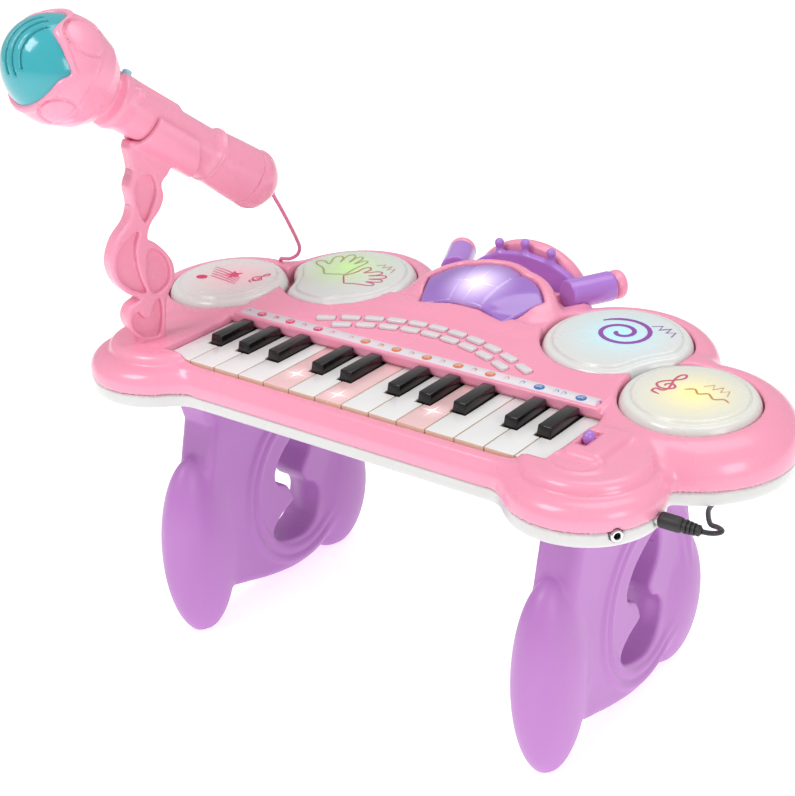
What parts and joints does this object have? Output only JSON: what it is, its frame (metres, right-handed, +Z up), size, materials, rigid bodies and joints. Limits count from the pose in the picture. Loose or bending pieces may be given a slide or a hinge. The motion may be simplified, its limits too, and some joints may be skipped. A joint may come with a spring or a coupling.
{
  "type": "toy electronic keyboard",
  "caption": "Toy electronic keyboard with moving keys, drum pads, sound buttons and a light window, on two legs, with a microphone on a stand and an audio lead.",
  "frame": {"origin": "bottom centre of the object's box, without the audio lead and the microphone cord, on the table that it stands on", "axes": "+Z up, +X to the player's right along the row of keys, +Y away from the player"},
  "size_m": [0.476, 0.2946, 0.4224],
  "materials": {
    "case_pink": "glossy",
    "case_white": "glossy",
    "leg_purple": "satin",
    "key_white": "glossy",
    "key_black": "glossy",
    "pad_white": "glossy",
    "button_white": "satin",
    "lens_purple": "glossy",
    "crown_purple": "glossy",
    "mic_pink": "glossy",
    "mic_teal": "glossy",
    "switch_blue": "glossy",
    "metal": "polished",
    "rubber_black": "satin",
    "cord_pink": "satin",
    "label_white": "printed",
    "inner_plastic": "matte",
    "contact_rubber": "matte"
  },
  "bodies": {
    "root": {"upper_case": "case_pink", "lower_case": "case_white", "battery_cover": "case_white", "battery_box": "inner_plastic", "case_screw_1": "metal", "case_screw_2": "metal", "key_bed": "inner_plastic", "key_contact_strip": "contact_rubber", "circuit_board": "inner_plastic", "speaker": "inner_plastic", "label_strip": "label_white", "light_window": "lens_purple", "crown": "crown_purple", "left_wing_cap": "case_pink", "right_wing_cap": "case_pink", "left_leg": "leg_purple", "right_leg": "leg_purple", "mic_stand": "case_pink", "headphone_socket": "metal", "audio_in_socket": "metal", "aux_plug": "rubber_black", "aux_cord": "rubber_black", "aux_coil": "rubber_black", "aux_end_plug": "rubber_black", "mic_cord": "cord_pink"},
    "white_key_01": {"white_key_01": "key_white"},
    "white_key_02": {"white_key_02": "key_white"},
    "white_key_03": {"white_key_03": "key_white"},
    "white_key_04": {"white_key_04": "key_white"},
    "white_key_05": {"white_key_05": "key_white"},
    "white_key_06": {"white_key_06": "key_white"},
    "white_key_07": {"white_key_07": "key_white"},
    "white_key_08": {"white_key_08": "key_white"},
    "white_key_09": {"white_key_09": "key_white"},
    "white_key_10": {"white_key_10": "key_white"},
    "white_key_11": {"white_key_11": "key_white"},
    "white_key_12": {"white_key_12": "key_white"},
    "white_key_13": {"white_key_13": "key_white"},
    "white_key_14": {"white_key_14": "key_white"},
    "black_key_01": {"black_key_01": "key_black"},
    "black_key_02": {"black_key_02": "key_black"},
    "black_key_03": {"black_key_03": "key_black"},
    "black_key_04": {"black_key_04": "key_black"},
    "black_key_05": {"black_key_05": "key_black"},
    "black_key_06": {"black_key_06": "key_black"},
    "black_key_07": {"black_key_07": "key_black"},
    "black_key_08": {"black_key_08": "key_black"},
    "black_key_09": {"black_key_09": "key_black"},
    "black_key_10": {"black_key_10": "key_black"},
    "drum_pad_1": {"drum_pad_1": "pad_white"},
    "drum_pad_2": {"drum_pad_2": "pad_white"},
    "drum_pad_3": {"drum_pad_3": "pad_white"},
    "drum_pad_4": {"drum_pad_4": "pad_white"},
    "rear_sound_buttons": {"rear_sound_buttons": "button_white"},
    "front_sound_buttons": {"front_sound_buttons": "button_white"},
    "power_switch": {"power_switch": "crown_purple"},
    "microphone": {"mic_body": "mic_pink", "mic_grille": "mic_teal", "mic_tail_cap": "mic_pink"},
    "mic_switch": {"mic_switch": "switch_blue"}
  },
  "joints": [
    {"name": "white_key_01_press", "type": "hinge", "parent": "root", "child": "white_key_01", "pos_m": [-0.13, -0.00267, 0.2], "axis": [1, 0, 0], "range_deg": [0, 2.6], "stiffness_Nm_per_rad": 0.6, "springref_deg": -3.44},
    {"name": "white_key_02_press", "type": "hinge", "parent": "root", "child": "white_key_02", "pos_m": [-0.11, -0.00267, 0.2], "axis": [1, 0, 0], "range_deg": [0, 2.6], "stiffness_Nm_per_rad": 0.6, "springref_deg": -3.44},
    {"name": "white_key_03_press", "type": "hinge", "parent": "root", "child": "white_key_03", "pos_m": [-0.09, -0.00267, 0.2], "axis": [1, 0, 0], "range_deg": [0, 2.6], "stiffness_Nm_per_rad": 0.6, "springref_deg": -3.44},
    {"name": "white_key_04_press", "type": "hinge", "parent": "root", "child": "white_key_04", "pos_m": [-0.07, -0.00267, 0.2], "axis": [1, 0, 0], "range_deg": [0, 2.6], "stiffness_Nm_per_rad": 0.6, "springref_deg": -3.44},
    {"name": "white_key_05_press", "type": "hinge", "parent": "root", "child": "white_key_05", "pos_m": [-0.05, -0.00267, 0.2], "axis": [1, 0, 0], "range_deg": [0, 2.6], "stiffness_Nm_per_rad": 0.6, "springref_deg": -3.44},
    {"name": "white_key_06_press", "type": "hinge", "parent": "root", "child": "white_key_06", "pos_m": [-0.03, -0.00267, 0.2], "axis": [1, 0, 0], "range_deg": [0, 2.6], "stiffness_Nm_per_rad": 0.6, "springref_deg": -3.44},
    {"name": "white_key_07_press", "type": "hinge", "parent": "root", "child": "white_key_07", "pos_m": [-0.01, -0.00267, 0.2], "axis": [1, 0, 0], "range_deg": [0, 2.6], "stiffness_Nm_per_rad": 0.6, "springref_deg": -3.44},
    {"name": "white_key_08_press", "type": "hinge", "parent": "root", "child": "white_key_08", "pos_m": [0.01, -0.00267, 0.2], "axis": [1, 0, 0], "range_deg": [0, 2.6], "stiffness_Nm_per_rad": 0.6, "springref_deg": -3.44},
    {"name": "white_key_09_press", "type": "hinge", "parent": "root", "child": "white_key_09", "pos_m": [0.03, -0.00267, 0.2], "axis": [1, 0, 0], "range_deg": [0, 2.6], "stiffness_Nm_per_rad": 0.6, "springref_deg": -3.44},
    {"name": "white_key_10_press", "type": "hinge", "parent": "root", "child": "white_key_10", "pos_m": [0.05, -0.00267, 0.2], "axis": [1, 0, 0], "range_deg": [0, 2.6], "stiffness_Nm_per_rad": 0.6, "springref_deg": -3.44},
    {"name": "white_key_11_press", "type": "hinge", "parent": "root", "child": "white_key_11", "pos_m": [0.07, -0.00267, 0.2], "axis": [1, 0, 0], "range_deg": [0, 2.6], "stiffness_Nm_per_rad": 0.6, "springref_deg": -3.44},
    {"name": "white_key_12_press", "type": "hinge", "parent": "root", "child": "white_key_12", "pos_m": [0.09, -0.00267, 0.2], "axis": [1, 0, 0], "range_deg": [0, 2.6], "stiffness_Nm_per_rad": 0.6, "springref_deg": -3.44},
    {"name": "white_key_13_press", "type": "hinge", "parent": "root", "child": "white_key_13", "pos_m": [0.11, -0.00267, 0.2], "axis": [1, 0, 0], "range_deg": [0, 2.6], "stiffness_Nm_per_rad": 0.6, "springref_deg": -3.44},
    {"name": "white_key_14_press", "type": "hinge", "parent": "root", "child": "white_key_14", "pos_m": [0.13, -0.00267, 0.2], "axis": [1, 0, 0], "range_deg": [0, 2.6], "stiffness_Nm_per_rad": 0.6, "springref_deg": -3.44},
    {"name": "black_key_01_press", "type": "hinge", "parent": "root", "child": "black_key_01", "pos_m": [-0.1238, -0.00267, 0.2], "axis": [1, 0, 0], "range_deg": [0, 2.6], "stiffness_Nm_per_rad": 0.6, "springref_deg": -3.44},
    {"name": "black_key_02_press", "type": "hinge", "parent": "root", "child": "black_key_02", "pos_m": [-0.1008, -0.00267, 0.2], "axis": [1, 0, 0], "range_deg": [0, 2.6], "stiffness_Nm_per_rad": 0.6, "springref_deg": -3.44},
    {"name": "black_key_03_press", "type": "hinge", "parent": "root", "child": "black_key_03", "pos_m": [-0.0762, -0.00267, 0.2], "axis": [1, 0, 0], "range_deg": [0, 2.6], "stiffness_Nm_per_rad": 0.6, "springref_deg": -3.44},
    {"name": "black_key_04_press", "type": "hinge", "parent": "root", "child": "black_key_04", "pos_m": [-0.0412, -0.00267, 0.2], "axis": [1, 0, 0], "range_deg": [0, 2.6], "stiffness_Nm_per_rad": 0.6, "springref_deg": -3.44},
    {"name": "black_key_05_press", "type": "hinge", "parent": "root", "child": "black_key_05", "pos_m": [-0.0192, -0.00267, 0.2], "axis": [1, 0, 0], "range_deg": [0, 2.6], "stiffness_Nm_per_rad": 0.6, "springref_deg": -3.44},
    {"name": "black_key_06_press", "type": "hinge", "parent": "root", "child": "black_key_06", "pos_m": [0.0167, -0.00267, 0.2], "axis": [1, 0, 0], "range_deg": [0, 2.6], "stiffness_Nm_per_rad": 0.6, "springref_deg": -3.44},
    {"name": "black_key_07_press", "type": "hinge", "parent": "root", "child": "black_key_07", "pos_m": [0.0392, -0.00267, 0.2], "axis": [1, 0, 0], "range_deg": [0, 2.6], "stiffness_Nm_per_rad": 0.6, "springref_deg": -3.44},
    {"name": "black_key_08_press", "type": "hinge", "parent": "root", "child": "black_key_08", "pos_m": [0.0638, -0.00267, 0.2], "axis": [1, 0, 0], "range_deg": [0, 2.6], "stiffness_Nm_per_rad": 0.6, "springref_deg": -3.44},
    {"name": "black_key_09_press", "type": "hinge", "parent": "root", "child": "black_key_09", "pos_m": [0.0988, -0.00267, 0.2], "axis": [1, 0, 0], "range_deg": [0, 2.6], "stiffness_Nm_per_rad": 0.6, "springref_deg": -3.44},
    {"name": "black_key_10_press", "type": "hinge", "parent": "root", "child": "black_key_10", "pos_m": [0.1208, -0.00267, 0.2], "axis": [1, 0, 0], "range_deg": [0, 2.6], "stiffness_Nm_per_rad": 0.6, "springref_deg": -3.44},
    {"name": "drum_pad_1_press", "type": "slide", "parent": "root", "child": "drum_pad_1", "axis": [0.0226, 0.061, -0.9979], "range_m": [0, 0.0015], "stiffness_N_per_m": 800, "springref_m": -0.002},
    {"name": "drum_pad_2_press", "type": "slide", "parent": "root", "child": "drum_pad_2", "axis": [0.0139, 0.0663, -0.9977], "range_m": [0, 0.0015], "stiffness_N_per_m": 800, "springref_m": -0.002},
    {"name": "drum_pad_3_press", "type": "slide", "parent": "root", "child": "drum_pad_3", "axis": [-0.0139, 0.0663, -0.9977], "range_m": [0, 0.0015], "stiffness_N_per_m": 800, "springref_m": -0.002},
    {"name": "drum_pad_4_press", "type": "slide", "parent": "root", "child": "drum_pad_4", "axis": [-0.0226, 0.061, -0.9979], "range_m": [0, 0.0015], "stiffness_N_per_m": 800, "springref_m": -0.002},
    {"name": "rear_sound_buttons_press", "type": "slide", "parent": "root", "child": "rear_sound_buttons", "axis": [0, 0, -1], "range_m": [0, 0.001], "stiffness_N_per_m": 500, "springref_m": -0.001},
    {"name": "front_sound_buttons_press", "type": "slide", "parent": "root", "child": "front_sound_buttons", "axis": [0, 0, -1], "range_m": [0, 0.001], "stiffness_N_per_m": 500, "springref_m": -0.001},
    {"name": "power_switch_slide", "type": "slide", "parent": "root", "child": "power_switch", "axis": [0, 1, 0], "range_m": [-0.0035, 0.0035]},
    {"name": "microphone_lift", "type": "slide", "parent": "root", "child": "microphone", "axis": [0.1532, 0.5718, 0.8059], "range_m": [0, 0.06], "deforming": ["mic_cord"]},
    {"name": "mic_switch_slide", "type": "slide", "parent": "microphone", "child": "mic_switch", "axis": [-0.2086, -0.7785, 0.592], "range_m": [0, 0.003]}
  ]
}
